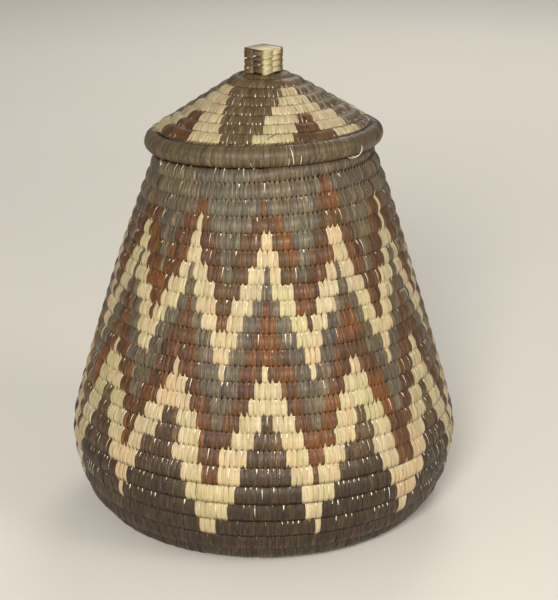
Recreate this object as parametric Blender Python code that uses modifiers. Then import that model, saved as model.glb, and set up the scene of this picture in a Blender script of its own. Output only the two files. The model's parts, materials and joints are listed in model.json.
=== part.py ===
"""A coiled palm-leaf basket with a pointed lid.

One grass coil winds out from the middle of the floor, turns up at the foot and climbs to the mouth,
each row lying on the one before. A second coil makes the lid, inside a thick wrapped rim. A collar
under the lid drops into the mouth, and a woven knob stands on top. Metres, +Z up, front at -Y.
"""

import math

import bmesh
import bpy
import numpy as np
from mathutils import Matrix, Vector

# Body: outer sizes, and the shape of its side
body_height = 0.1978
belly_radius = 0.1048
belly_height = 0.0474
mouth_radius = 0.0577
floor_radius = 0.0760
taper_power = 1.09
shoulder_share = 0.033
shoulder_power = 8

# The body's coil: width of a row at the floor and at the neck, and how it is wound
floor_row_width = 0.0107
neck_row_width = 0.0080
row_fade_length = 0.140
row_gap = 0.0005
body_turn_points = 19
floor_turns = 10
tail_share = 0.20
flat_cut_depth = 0.0005
start_button_radius = 0.0048
button_edge_radius = 0.0012

# Rows look level from the front, and the mouth and lid stand a little higher at the front right
levelling_length = 0.035
lean_length = 0.060
rise_right = 0.0025
rise_front = 0.0026

# Lid: a thick rim, a cone of finer rows, and the collar that drops into the mouth
rim_overhang = 0.0044
rim_thickness = 0.0104
lid_row_width = 0.0069
lid_seat_turn = math.radians(45)
lid_slope = math.radians(31.6)
lid_turn_points = 16
lid_button_radius = 0.0046
lid_top_radius = 0.0130
collar_thickness = 0.0056
collar_rows = 3
collar_clearance = 0.0012
seat_gap = 0.0003

# Knob: a square core inside plaited strips, two columns on each face, closed by a crown
knob_width = 0.0141
knob_faces = 4
face_columns = 2
knob_turn = math.radians(3.5)
knob_courses = 5
course_height = 0.0020
course_bulge = 0.0006
course_slant_share = 0.25
strip_thickness = 0.0013
crown_thickness = 0.0012
crown_edge_radius = 0.0005

# How finely round shapes are divided
section_steps = 400
ring_sides = 36
tube_sides = 8
button_sides = 20
edge_steps = 3
course_steps = 4
coil_bevel_resolution = 1
coil_sides = 4 + 2 * coil_bevel_resolution
crease_angle = math.radians(65)
merge_distance = 0.000005
cut_overrun = 0.010


def clear_scene():
    for item in list(bpy.data.objects):
        bpy.data.objects.remove(item, do_unlink=True)


def new_collection(name):
    made = bpy.data.collections.new(name)
    bpy.context.scene.collection.children.link(made)
    return made


def new_empty(name, collection, parent=None):
    made = bpy.data.objects.new(name, None)
    made.empty_display_size = rim_thickness
    made.parent = parent
    collection.objects.link(made)
    return made


def leaf_material(name, colour, roughness):
    made = bpy.data.materials.new(name)
    made.use_nodes = True
    shader = made.node_tree.nodes["Principled BSDF"]
    shader.inputs["Base Color"].default_value = (*colour, 1.0)
    shader.inputs["Roughness"].default_value = roughness
    shader.inputs["Metallic"].default_value = 0.0
    made.diffuse_color = (*colour, 1.0)
    return made


def make_materials():
    return {
        "dark_leaf": leaf_material("dark_leaf", (0.085, 0.065, 0.050), 0.55),
        "taupe_leaf": leaf_material("taupe_leaf", (0.150, 0.125, 0.092), 0.50),
        "rim_leaf": leaf_material("rim_leaf", (0.165, 0.135, 0.082), 0.45),
        "brown_leaf": leaf_material("brown_leaf", (0.110, 0.085, 0.055), 0.50),
        "cream_leaf": leaf_material("cream_leaf", (0.720, 0.600, 0.330), 0.48),
        "grass_core": leaf_material("grass_core", (0.480, 0.390, 0.210), 0.70),
    }


def add_piece(name, mesh, finish, collection, parent, smooth=True):
    """One named object for one sub-part."""
    made = bpy.data.objects.new(name, mesh)
    mesh.materials.clear()
    mesh.materials.append(finish)
    if smooth:
        mesh.shade_smooth()
        mesh.set_sharp_from_angle(angle=crease_angle)
    made.parent = parent
    collection.objects.link(made)
    return made


def evaluated_mesh(name, data, screw_sides=0):
    """The mesh of a curve, or of a profile turned about Z, with its seams joined."""
    guide = bpy.data.objects.new(name + "_guide", data)
    bpy.context.scene.collection.objects.link(guide)
    if screw_sides:
        turn = guide.modifiers.new("turn", "SCREW")
        turn.axis = "Z"
        turn.steps = screw_sides
        turn.render_steps = screw_sides
        turn.use_merge_vertices = True
        turn.merge_threshold = merge_distance
    graph = bpy.context.evaluated_depsgraph_get()
    mesh = bpy.data.meshes.new_from_object(guide.evaluated_get(graph))
    mesh.name = name
    bpy.data.objects.remove(guide, do_unlink=True)
    work = bmesh.new()
    work.from_mesh(mesh)
    bmesh.ops.remove_doubles(work, verts=work.verts, dist=merge_distance)
    bmesh.ops.recalc_face_normals(work, faces=work.faces)
    work.to_mesh(mesh)
    work.free()
    return mesh


def turned_mesh(name, outline, sides, closed_outline=False):
    """A turned solid from an outline of radius and height, listed from the top down its outer side."""
    work = bmesh.new()
    knots = [work.verts.new((radius, 0, height)) for radius, height in outline]
    for first, second in zip(knots, knots[1:]):
        work.edges.new((first, second))
    if closed_outline:
        work.edges.new((knots[-1], knots[0]))
    profile = bpy.data.meshes.new(name + "_profile")
    work.to_mesh(profile)
    work.free()
    return evaluated_mesh(name, profile, sides)


def smooth_step(value):
    kept = min(max(value, 0.0), 1.0)
    return kept * kept * (3 - 2 * kept)


def rim_radius():
    """The rim stands out a little past the mouth that it rests on."""
    return mouth_radius + rim_overhang


def lean(x, y):
    """How much higher than level the lid and the mouth stand at a place."""
    return (rise_right * x - rise_front * y) / rim_radius()


def lean_matrix():
    made = Matrix.Identity(4)
    made[2][0] = lean(1, 0)
    made[2][1] = lean(0, 1)
    return made


def row_width(distance):
    """Width of a body row, by its distance from the floor's middle along the section."""
    left = min(max(1 - (distance - floor_radius) / row_fade_length, 0.0), 1.0)
    return neck_row_width + (floor_row_width - neck_row_width) * left**2


def floor_row_height():
    """Height of the centre of the floor's rows, whose flat undersides are cut a little deeper."""
    underside = (floor_row_width - row_gap) / 2 * math.cos(math.pi / coil_sides)
    return underside - flat_cut_depth


def mouth_row():
    """Radius and height of the centre of the mouth's last full row, and its half thickness."""
    half_width = neck_row_width / 2
    return mouth_radius - half_width, body_height - half_width, half_width - row_gap / 2


def body_section():
    """Centre line of the body's coil in section: distance along it, radius and height."""
    widest = belly_radius - floor_row_width / 2
    top_radius, top_height, _ = mouth_row()
    share = np.linspace(0, 1, section_steps)
    foot_radius = floor_radius + (widest - floor_radius) * np.sin(share * math.pi / 2)
    foot_height = belly_height - (belly_height - floor_row_height()) * np.cos(share * math.pi / 2)
    taper = (1 - shoulder_share) * share**taper_power + shoulder_share * share**shoulder_power
    side_radius = widest - (widest - top_radius) * taper
    side_height = belly_height + (top_height - belly_height) * share
    radius = np.concatenate([[0], foot_radius, side_radius[1:]])
    height = np.concatenate([[floor_row_height()], foot_height, side_height[1:]])
    run = np.array([radius[-1] - radius[-2], height[-1] - height[-2]])
    run *= neck_row_width / 2 / np.hypot(*run)
    radius = np.append(radius, radius[-1] + run[0])
    height = np.append(height, height[-1] + run[1])
    along = np.concatenate([[0], np.cumsum(np.hypot(np.diff(radius), np.diff(height)))])
    return along, radius, height


def wind(inner, outer, width_at, points_a_turn):
    """Distance from the middle and width of the row, at each station of a coil.

    The coil moves out one row width a turn. Its first row grows from a thin nose round the inner
    limit, and its last row thins out against the outer one.
    """
    nose_share = tail_share - 1 / 2
    distances, widths, paced = [], [], [inner + nose_share * width_at(inner)]
    while True:
        here = paced[-1]
        lower = max(here - width_at(here) / 2, inner)
        if len(paced) > points_a_turn:
            before = paced[-1 - points_a_turn]
            lower = before + width_at(before) / 2
        upper = min(here + width_at(here) / 2, outer)
        if len(paced) > points_a_turn and upper - lower < tail_share * width_at(here):
            return distances, widths
        distances.append((lower + upper) / 2)
        widths.append(upper - lower)
        paced.append(here + width_at(here) / points_a_turn)


def around(radius, angle, height):
    """A place by radius, angle and height. The angle grows from the front towards the right."""
    return Vector((radius * math.sin(angle), -radius * math.cos(angle), height))


def body_point(section, distance, angle):
    along, radius, height = section
    foot_share = smooth_step((distance - floor_radius) / levelling_length)
    neck_share = smooth_step((along[-1] - distance) / lean_length)
    climb = row_width(distance) / (2 * math.pi)
    level = distance - climb * math.sin(angle) * foot_share * neck_share
    r = float(np.interp(level, along, radius))
    point = around(r, angle, float(np.interp(level, along, height)))
    point.z += lean(point.x, point.y) * (1 - neck_share)
    return point


def lid_point(distance, angle):
    """A place on the lid, by distance from its middle: level under the knob, then down the slope."""
    down = max(distance - lid_top_radius, 0)
    radius = min(distance, lid_top_radius) + down * math.cos(lid_slope)
    point = around(radius, angle, lid_top_height() - down * math.sin(lid_slope))
    point.z += lean(point.x, point.y)
    return point


def tube_radii(points, distances, widths, points_a_turn):
    """Radius of the coil at each station, thinner or thicker as the rows close up or part."""
    radii = []
    for station, point in enumerate(points):
        last_row = station + points_a_turn >= len(points)
        spread = 1.0 if last_row else math.inf
        for other in (station - points_a_turn, station + points_a_turn):
            if 0 <= other < len(points):
                apart = (point - points[other]).length
                spread = min(spread, apart / abs(distances[station] - distances[other]))
        radii.append((widths[station] * spread - row_gap) / 2)
    return radii


def row_tilts(points, points_a_turn):
    """How far each station's section turns, so that its corners face the rows beside it."""
    tilts = []
    for station in range(len(points)):
        low = station if station + points_a_turn < len(points) else station - points_a_turn
        near, far = points[low], points[low + points_a_turn]
        tilts.append(math.atan2(far.z - near.z, far.xy.length - near.xy.length))
    return tilts


def least_gap(points, radii, points_a_turn):
    """Smallest space between a coil and itself, half a turn away or more."""
    places = np.array([tuple(point) for point in points])
    sizes = np.array(radii)
    smallest = math.inf
    for station in range(len(places) - points_a_turn // 2):
        others = slice(station + points_a_turn // 2, None)
        apart = np.linalg.norm(places[others] - places[station], axis=1)
        smallest = min(smallest, float((apart - sizes[others] - sizes[station]).min()))
    return smallest


def wound_coil(name, inner, outer, width_at, points_a_turn, place):
    """Stations of one unbroken coil, each a place, a radius and a tilt. Prints its least gap."""
    distances, widths = wind(inner, outer, width_at, points_a_turn)
    points = [
        place(distance, 2 * math.pi * station / points_a_turn)
        for station, distance in enumerate(distances)
    ]
    radii = tube_radii(points, distances, widths, points_a_turn)
    gap = least_gap(points, radii, points_a_turn)
    turns = (len(points) - 1) / points_a_turn
    print(f"{name}: {turns:.1f} turns, least gap to itself {gap * 1000:.2f} mm")
    return list(zip(points, radii, row_tilts(points, points_a_turn)))


def split_coil(stations, number):
    """The coil as two, parted by the seat gap in the middle of the run after a station."""
    near, far = stations[number], stations[number + 1]
    middle = (near[0] + far[0]) / 2
    half_gap = (far[0] - near[0]).normalized() * seat_gap / 2
    radius, tilt = (near[1] + far[1]) / 2, (near[2] + far[2]) / 2
    first = stations[: number + 1] + [(middle - half_gap, radius, tilt)]
    second = [(middle + half_gap, radius, tilt)] + stations[number + 1 :]
    return first, second


def coil_mesh(name, stations):
    """One round tube through the stations, with closed ends."""
    thickest = max(radius for _, radius, _ in stations)
    curve = bpy.data.curves.new(name, "CURVE")
    curve.dimensions = "3D"
    curve.twist_mode = "Z_UP"
    curve.bevel_depth = thickest
    curve.bevel_resolution = coil_bevel_resolution
    curve.use_fill_caps = True
    spline = curve.splines.new("POLY")
    spline.points.add(len(stations) - 1)
    for knot, (point, radius, tilt) in zip(spline.points, stations):
        knot.co = (*point, 1)
        knot.radius = radius / thickest
        knot.tilt = tilt
    return evaluated_mesh(name, curve)


def button_mesh(name, radius, bottom, top):
    """A low round button, flat above and below, with an eased upper edge."""
    ease = button_edge_radius
    outline = [(0, top)]
    for step in range(edge_steps + 1):
        turn = math.pi / 2 * step / edge_steps
        outline.append((radius - ease + ease * math.sin(turn), top - ease + ease * math.cos(turn)))
    outline += [(radius, bottom), (0, bottom)]
    return turned_mesh(name, outline, button_sides)


def first_lid_row():
    """Radius and height of the lid's outermost row, which lies on the rim's inner shoulder."""
    reach = rim_thickness / 2 + seat_gap + (lid_row_width - row_gap) / 2
    radius = rim_radius() - rim_thickness / 2 - reach * math.cos(lid_seat_turn)
    return radius, rim_height() + reach * math.sin(lid_seat_turn)


def rim_height():
    """Height of the rim's centre line where the rim rests on the mouth."""
    row_radius, row_height, row_half = mouth_row()
    reach = rim_thickness / 2 + row_half + seat_gap
    across = rim_radius() - rim_thickness / 2 - row_radius
    return row_height + math.sqrt(reach**2 - across**2)


def slope_height(radius):
    """Height of the centre of the lid's sloping rows at a radius."""
    row_radius, row_height = first_lid_row()
    return row_height + (row_radius - radius) * math.tan(lid_slope)


def lid_top_height():
    """Height of the centre of the lid's level rows, under the knob."""
    return slope_height(lid_top_radius)


def knob_bottom():
    """The knob rests on the lid's level rows."""
    return lid_top_height() + (lid_row_width - row_gap) / 2 + seat_gap


def knob_wall():
    """Thickness of the plaited strips round the knob's core, at their fullest."""
    return strip_thickness + course_bulge


def column_inner_side():
    """Distance of the columns' inner faces from the knob's middle."""
    return knob_width / 2 - knob_wall()


def column_width():
    """Each face is one wall thickness shorter than the knob, as it stops behind its neighbour."""
    return (knob_width - knob_wall()) / face_columns - seat_gap


def column_rise():
    """How far a slanted course rises from the middle of its column to its edge."""
    return course_slant_share * column_width() / 2


def column_bottom():
    """Columns start high enough for their slanted lower corners to clear the row under them."""
    return knob_bottom() + column_rise()


def column_top():
    return column_bottom() + knob_courses * course_height


def crown_bottom():
    return column_top() + column_rise() + seat_gap


def add_body(finishes, collection, cutters, parent):
    section = body_section()
    inner = start_button_radius + seat_gap - row_gap / 2

    def place(distance, angle):
        return body_point(section, distance, angle)

    coil = wound_coil("body coil", inner, section[0][-1], row_width, body_turn_points, place)
    base, wall = split_coil(coil, floor_turns * body_turn_points)
    print(f"of these, wall: {(len(wall) - 1) / body_turn_points:.1f} turns")
    floor = coil_mesh("base_coil", base)
    cut_floor_flat(add_piece("base_coil", floor, finishes["dark_leaf"], collection, parent), cutters)
    side = coil_mesh("wall_coil", wall)
    add_piece("wall_coil", side, finishes["taupe_leaf"], collection, parent)
    top = floor_row_height() + floor_row_width / 2
    button = button_mesh("base_start", start_button_radius, 0, top)
    add_piece("base_start", button, finishes["dark_leaf"], collection, parent)


def cut_floor_flat(floor, cutters):
    """Gives the floor's rows real flats to stand on."""
    side = 2 * belly_radius + cut_overrun
    work = bmesh.new()
    bmesh.ops.create_cube(work, size=1)
    bmesh.ops.scale(work, vec=(side, side, cut_overrun), verts=work.verts)
    bmesh.ops.translate(work, vec=(0, 0, -cut_overrun / 2), verts=work.verts)
    mesh = bpy.data.meshes.new("floor_cutter")
    work.to_mesh(mesh)
    work.free()
    cutter = bpy.data.objects.new("floor_cutter", mesh)
    cutter.hide_render = True
    cutter.display_type = "WIRE"
    cutters.objects.link(cutter)
    cut = floor.modifiers.new("flat_floor", "BOOLEAN")
    cut.operation = "DIFFERENCE"
    cut.object = cutter


def rim_mesh():
    bpy.ops.mesh.primitive_torus_add(
        major_radius=rim_radius() - rim_thickness / 2,
        minor_radius=rim_thickness / 2,
        major_segments=ring_sides,
        minor_segments=tube_sides,
        location=(0, 0, 0),
    )
    ring = bpy.context.object
    mesh = ring.data
    bpy.data.objects.remove(ring, do_unlink=True)
    mesh.transform(Matrix.Translation((0, 0, rim_height())))
    return mesh


def collar_mesh():
    """The collar's rows, one under the other, as one ring with a rounded outline."""
    half = collar_thickness / 2
    row_radius, _, row_half = mouth_row()
    centre = row_radius - row_half - collar_clearance - half
    reach = (lid_row_width - row_gap) / 2 + half + seat_gap
    top_row = slope_height(centre) - reach / math.cos(lid_slope)
    outer = []
    for row in range(collar_rows):
        for step in range(tube_sides // 2):
            turn = math.pi * (step + 1 / 2) / (tube_sides // 2)
            height = top_row - row * collar_thickness + half * math.cos(turn)
            outer.append((centre + half * math.sin(turn), height))
    inner = [(2 * centre - radius, height) for radius, height in reversed(outer)]
    return turned_mesh("lid_collar", outer + inner, ring_sides, closed_outline=True)


def column_mesh(name, face, column):
    """One column of the knob's plait: strips lying on each other, rising towards the right."""
    inner = column_inner_side()
    bottom, top = column_bottom(), column_top()
    outline = [(inner, top)]
    for step in range(knob_courses * course_steps + 1):
        swell = course_bulge * abs(math.sin(math.pi * step / course_steps))
        height = top - course_height * step / course_steps
        outline.append((inner + strip_thickness + swell, height))
    outline.append((inner, bottom))
    curve = bpy.data.curves.new(name, "CURVE")
    curve.dimensions = "2D"
    curve.fill_mode = "BOTH"
    curve.extrude = column_width() / 2
    spline = curve.splines.new("POLY")
    spline.points.add(len(outline) - 1)
    spline.use_cyclic_u = True
    for knot, (radius, height) in zip(spline.points, outline):
        knot.co = (radius, height, 0, 1)
    mesh = evaluated_mesh(name, curve)
    slant = Matrix.Identity(4)
    slant[2][1] = course_slant_share
    upright = Matrix.Rotation(math.pi / 2, 4, "X")
    pitch = column_width() + seat_gap
    along = knob_width / 2 - pitch * (column + 1 / 2)
    aside = Matrix.Translation((0, along, 0))
    turn = face_angle(face)
    mesh.transform(Matrix.Rotation(turn, 4, "Z") @ aside @ slant @ upright)
    return mesh


def face_angle(face):
    """Which way a face of the knob looks. A corner stands towards the front."""
    return knob_turn + 2 * math.pi * (face + 1 / 2) / knob_faces


def square_mesh(name, width, bottom, top):
    """A square block on the knob's axis, turned as the knob is."""
    work = bmesh.new()
    bmesh.ops.create_cube(work, size=1)
    bmesh.ops.scale(work, vec=(width, width, top - bottom), verts=work.verts)
    bmesh.ops.translate(work, vec=(0, 0, (top + bottom) / 2), verts=work.verts)
    made = bpy.data.meshes.new(name)
    work.to_mesh(made)
    work.free()
    made.transform(Matrix.Rotation(face_angle(0), 4, "Z"))
    return made


def crown_mesh():
    return square_mesh("knob_crown", knob_width, crown_bottom(), crown_bottom() + crown_thickness)


def knob_core_mesh():
    width = 2 * (column_inner_side() - seat_gap)
    return square_mesh("knob_core", width, knob_bottom(), crown_bottom() - seat_gap)


def add_lid(finishes, collection, parent):
    leaning = lean_matrix()

    def add_leaning(name, mesh, finish, smooth=True):
        mesh.transform(leaning)
        return add_piece(name, mesh, finishes[finish], collection, parent, smooth)

    inner = lid_button_radius + seat_gap - row_gap / 2
    slope_run = (first_lid_row()[0] - lid_top_radius) / math.cos(lid_slope)
    outer = lid_top_radius + slope_run + lid_row_width / 2

    def width(distance):
        return lid_row_width

    coil = wound_coil("lid coil", inner, outer, width, lid_turn_points, lid_point)
    add_piece("lid_coil", coil_mesh("lid_coil", coil), finishes["cream_leaf"], collection, parent)
    add_leaning("lid_rim", rim_mesh(), "rim_leaf")
    add_leaning("lid_collar", collar_mesh(), "dark_leaf")
    button_top = knob_bottom() - seat_gap
    button = button_mesh("lid_start", lid_button_radius, button_top - lid_row_width, button_top)
    add_leaning("lid_start", button, "dark_leaf")
    add_leaning("knob_core", knob_core_mesh(), "grass_core", smooth=False)
    for face in range(knob_faces):
        finish = "cream_leaf" if face % 2 else "brown_leaf"
        for column in range(face_columns):
            name = f"knob_column_{face * face_columns + column + 1}"
            add_leaning(name, column_mesh(name, face, column), finish, smooth=False)
    crown = add_leaning("knob_crown", crown_mesh(), "cream_leaf", smooth=False)
    ease = crown.modifiers.new("eased_edges", "BEVEL")
    ease.width = crown_edge_radius
    ease.segments = 2
    ease.limit_method = "ANGLE"


def main():
    clear_scene()
    parts = new_collection("lidded_basket")
    cutters = new_collection("cutters")
    finishes = make_materials()
    basket = new_empty("basket", parts)
    lid = new_empty("lid", parts, basket)
    add_body(finishes, parts, cutters, basket)
    add_lid(finishes, parts, lid)


main()
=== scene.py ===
"""The lidded basket, dressed: grass rows sewn over with strips of dyed palm leaf.

Every row of the body and of the lid is a grass bundle wrapped in leaf strips. Each strip comes up out of
the crease under its row and ends in a point on the next row. A chart says which leaf each strip is cut
from. The rim, the collar and the knob are wrapped or plaited in the same leaf.
"""

import json
import math

import bmesh
import bpy
import numpy as np
from mathutils import Matrix, Vector

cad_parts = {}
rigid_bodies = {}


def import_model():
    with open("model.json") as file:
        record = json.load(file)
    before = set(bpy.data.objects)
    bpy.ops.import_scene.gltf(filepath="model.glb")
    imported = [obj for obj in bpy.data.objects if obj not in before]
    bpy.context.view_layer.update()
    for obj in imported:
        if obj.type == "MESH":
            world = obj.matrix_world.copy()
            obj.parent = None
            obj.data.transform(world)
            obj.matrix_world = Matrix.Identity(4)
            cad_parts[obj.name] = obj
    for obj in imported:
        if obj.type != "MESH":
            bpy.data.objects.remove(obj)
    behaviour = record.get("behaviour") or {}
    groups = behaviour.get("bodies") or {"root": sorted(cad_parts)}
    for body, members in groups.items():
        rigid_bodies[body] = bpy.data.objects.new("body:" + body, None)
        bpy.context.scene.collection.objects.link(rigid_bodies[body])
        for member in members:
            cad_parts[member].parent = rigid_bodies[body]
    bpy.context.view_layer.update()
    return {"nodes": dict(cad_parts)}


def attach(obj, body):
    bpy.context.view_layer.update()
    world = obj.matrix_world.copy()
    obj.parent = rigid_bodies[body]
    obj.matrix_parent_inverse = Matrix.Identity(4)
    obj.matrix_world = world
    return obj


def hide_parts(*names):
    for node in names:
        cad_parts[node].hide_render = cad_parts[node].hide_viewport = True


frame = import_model()

# Body and lid sizes, as in the solids
body_height = 0.1978
belly_radius = 0.1048
belly_height = 0.0474
mouth_radius = 0.0577
floor_radius = 0.0760
taper_power = 1.09
shoulder_share = 0.033
shoulder_power = 8
floor_row_width = 0.0107
neck_row_width = 0.0080
row_fade_length = 0.140
row_gap = 0.0005
tail_share = 0.20
flat_cut_depth = 0.0005
start_button_radius = 0.0048
levelling_length = 0.035
lean_length = 0.060
rise_right = 0.0025
rise_front = 0.0026
rim_overhang = 0.0044
rim_thickness = 0.0104
lid_row_width = 0.0069
lid_seat_turn = math.radians(45)
lid_slope = math.radians(31.6)
lid_button_radius = 0.0046
lid_top_radius = 0.0130
collar_thickness = 0.0056
collar_rows = 3
collar_clearance = 0.0012
seat_gap = 0.0003
knob_width = 0.0141
knob_turn = math.radians(3.5)
knob_courses = 5
course_height = 0.0020
knob_wall = 0.0019
column_slant = 0.25
coil_sides = 6

# Leaf strips: how far apart they stand along a row
neck_strip_width = 0.0024
belly_strip_width = 0.0027
lid_strip_width = 0.00195
rim_strip_width = 0.0030
collar_strip_width = 0.0022
finest_within = 0.053
coarsest_beyond = 0.100
first_strip = 0.4
coil_start = 0.005
strip_thickness = 0.05
turn_points = 72
section_steps = 400
row_depth = 0.30
pressed_below = 0.0009
pressed_share = 0.31

rim_radius = mouth_radius + rim_overhang
floor_turns = 10
rng = np.random.default_rng(11)


# ---------------- small helpers


def in_scene(name, data):
    """A new object, put in the scene."""
    made = bpy.data.objects.new(name, data)
    bpy.context.scene.collection.objects.link(made)
    return made


def faced_mesh(name, work):
    """The worked faces as a mesh, all of them facing outward."""
    bmesh.ops.recalc_face_normals(work, faces=work.faces)
    mesh = bpy.data.meshes.new(name)
    work.to_mesh(mesh)
    work.free()
    return mesh


def tube_faces(work, rings):
    """Faces between neighbouring rings, and one over each end. Gives those between the rings."""
    sides = []
    for low, high in zip(rings, rings[1:]):
        for k in range(len(low)):
            j = (k + 1) % len(low)
            sides.append(work.faces.new((low[k], low[j], high[j], high[k])))
    work.faces.new(list(reversed(rings[0])))
    work.faces.new(rings[-1])
    return sides


def unit(directions):
    """The same directions, each of length one."""
    return directions / np.linalg.norm(directions, axis=1)[:, None]


def square_to(directions, tangent):
    """The same directions turned square to the way the row runs, each of length one."""
    return unit(directions - (directions * tangent).sum(1)[:, None] * tangent)


def marked_points(name, places, turns, sizes):
    """Loose points that carry each strip's turn and size."""
    mesh = bpy.data.meshes.new(name)
    mesh.vertices.add(len(places))
    mesh.vertices.foreach_set("co", np.array(places, np.float32).ravel())
    for label, values in (("turn", turns), ("size", sizes)):
        held = mesh.attributes.new(label, "FLOAT_VECTOR", "POINT")
        held.data.foreach_set("vector", np.array(values, np.float32).ravel())
    return mesh


def fill(tree, made, inputs):
    """Gives a node's inputs, by number or name, values or other nodes' outputs."""
    for key, value in inputs.items():
        if isinstance(value, bpy.types.NodeSocket):
            tree.links.new(value, made.inputs[key])
        else:
            made.inputs[key].default_value = value
    return made.outputs


def step(tree, kind, inputs=None, **settings):
    """The outputs of a new node, with these settings and inputs."""
    made = tree.nodes.new(kind)
    for key, value in settings.items():
        setattr(made, key, value)
    return fill(tree, made, inputs or {})


# ---------------- the winding


def smooth_step(value):
    kept = np.clip(value, 0.0, 1.0)
    return kept * kept * (3 - 2 * kept)


def lean(x, y):
    """How much higher the mouth and the lid stand here than in the middle."""
    return (rise_right * x - rise_front * y) / rim_radius


def row_width(distance):
    """Rows are widest on the floor and narrowest at the mouth."""
    left = min(max(1 - (distance - floor_radius) / row_fade_length, 0.0), 1.0)
    return neck_row_width + (floor_row_width - neck_row_width) * left**2


def floor_row_height():
    return (floor_row_width - row_gap) / 2 * math.cos(math.pi / coil_sides) - flat_cut_depth


def mouth_row():
    half_width = neck_row_width / 2
    return mouth_radius - half_width, body_height - half_width, half_width - row_gap / 2


def body_section():
    """The body's outline through the rows' middles: how far along, radius, height."""
    widest = belly_radius - floor_row_width / 2
    top_radius, top_height, _ = mouth_row()
    share = np.linspace(0, 1, section_steps)
    foot_radius = floor_radius + (widest - floor_radius) * np.sin(share * math.pi / 2)
    foot_height = belly_height - (belly_height - floor_row_height()) * np.cos(share * math.pi / 2)
    taper = (1 - shoulder_share) * share**taper_power + shoulder_share * share**shoulder_power
    side_radius = widest - (widest - top_radius) * taper
    side_height = belly_height + (top_height - belly_height) * share
    radius = np.concatenate([[0], foot_radius, side_radius[1:]])
    height = np.concatenate([[floor_row_height()], foot_height, side_height[1:]])
    run = np.array([radius[-1] - radius[-2], height[-1] - height[-2]])
    run *= neck_row_width / 2 / np.hypot(*run)
    radius = np.append(radius, radius[-1] + run[0])
    height = np.append(height, height[-1] + run[1])
    along = np.concatenate([[0], np.cumsum(np.hypot(np.diff(radius), np.diff(height)))])
    return along, radius, height


section = body_section()


def wind(inner, outer, width_at):
    """Distance from the middle and width of the row at each station of a coil."""
    distances, widths, paced = [], [], [inner + (tail_share - 1 / 2) * width_at(inner)]
    while True:
        here = paced[-1]
        lower = max(here - width_at(here) / 2, inner)
        if len(paced) > turn_points:
            before = paced[-1 - turn_points]
            lower = before + width_at(before) / 2
        upper = here + width_at(here) / 2
        if outer - upper < tail_share * width_at(here):
            upper = outer
        if len(paced) > turn_points and upper - lower < tail_share * width_at(here):
            return np.array(distances), np.array(widths)
        distances.append((lower + upper) / 2)
        widths.append(upper - lower)
        paced.append(here + width_at(here) / turn_points)


def around(radius, angle, height):
    """A place by its radius, its angle from the front and its height."""
    return np.array([radius * math.sin(angle), -radius * math.cos(angle), height])


def body_point(distance, angle):
    """Where the row runs, climbing all the way but on the level floor and at the mouth."""
    along, radius, height = section
    foot_share = smooth_step((distance - floor_radius) / levelling_length)
    neck_share = smooth_step((along[-1] - distance) / lean_length)
    climb = row_width(distance) / (2 * math.pi)
    level = distance - climb * math.sin(angle) * foot_share * neck_share
    place = around(np.interp(level, along, radius), angle, np.interp(level, along, height))
    place[2] += lean(place[0], place[1]) * (1 - neck_share)
    return place


def rim_height():
    row_radius, row_height, row_half = mouth_row()
    reach = rim_thickness / 2 + row_half + seat_gap
    across = rim_radius - rim_thickness / 2 - row_radius
    return row_height + math.sqrt(reach**2 - across**2)


def first_lid_row():
    reach = rim_thickness / 2 + seat_gap + (lid_row_width - row_gap) / 2
    radius = rim_radius - rim_thickness / 2 - reach * math.cos(lid_seat_turn)
    return radius, rim_height() + reach * math.sin(lid_seat_turn)


def slope_height(radius):
    row_radius, row_height = first_lid_row()
    return row_height + (row_radius - radius) * math.tan(lid_slope)


def lid_top_height():
    return slope_height(lid_top_radius)


def knob_bottom():
    return lid_top_height() + (lid_row_width - row_gap) / 2 + seat_gap


def lid_point(distance, angle):
    down = max(distance - lid_top_radius, 0)
    radius = min(distance, lid_top_radius) + down * math.cos(lid_slope)
    place = around(radius, angle, lid_top_height() - down * math.sin(lid_slope))
    place[2] += lean(place[0], place[1])
    return place


def wound_rows(inner, outer, width_at, place):
    """Stations of a coil: places, half the way to the next row, and which way the next row lies."""
    distances, widths = wind(inner, outer, width_at)
    angles = 2 * math.pi * np.arange(len(distances)) / turn_points
    places = np.array([place(d, a) for d, a in zip(distances, angles)])
    ahead = np.empty_like(places)
    ahead[:-turn_points] = places[turn_points:] - places[:-turn_points]
    ahead[-turn_points:] = places[-turn_points:] - places[-2 * turn_points : -turn_points]
    apart = np.linalg.norm(places[turn_points:] - places[:-turn_points], axis=1)
    spread = np.ones(len(places))
    spread[:-turn_points] = apart / (distances[turn_points:] - distances[:-turn_points])
    spread[-turn_points:] = spread[-turn_points - 1]
    return {"places": places, "ahead": ahead, "half": widths * spread / 2, "angles": angles}


def ring_rows(radius, height, thickness):
    """One closed ring, as stations of the same kind."""
    angles = 2 * math.pi * np.arange(turn_points + 1) / turn_points
    places = np.array([around(radius, a, height) for a in angles])
    places[:, 2] += lean(places[:, 0], places[:, 1])
    ahead = np.tile([0.0, 0.0, 1.0], (len(angles), 1))
    half = np.full(len(angles), thickness / 2)
    return {"places": places, "ahead": ahead, "half": half, "angles": angles}


# ---------------- where each strip goes


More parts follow.
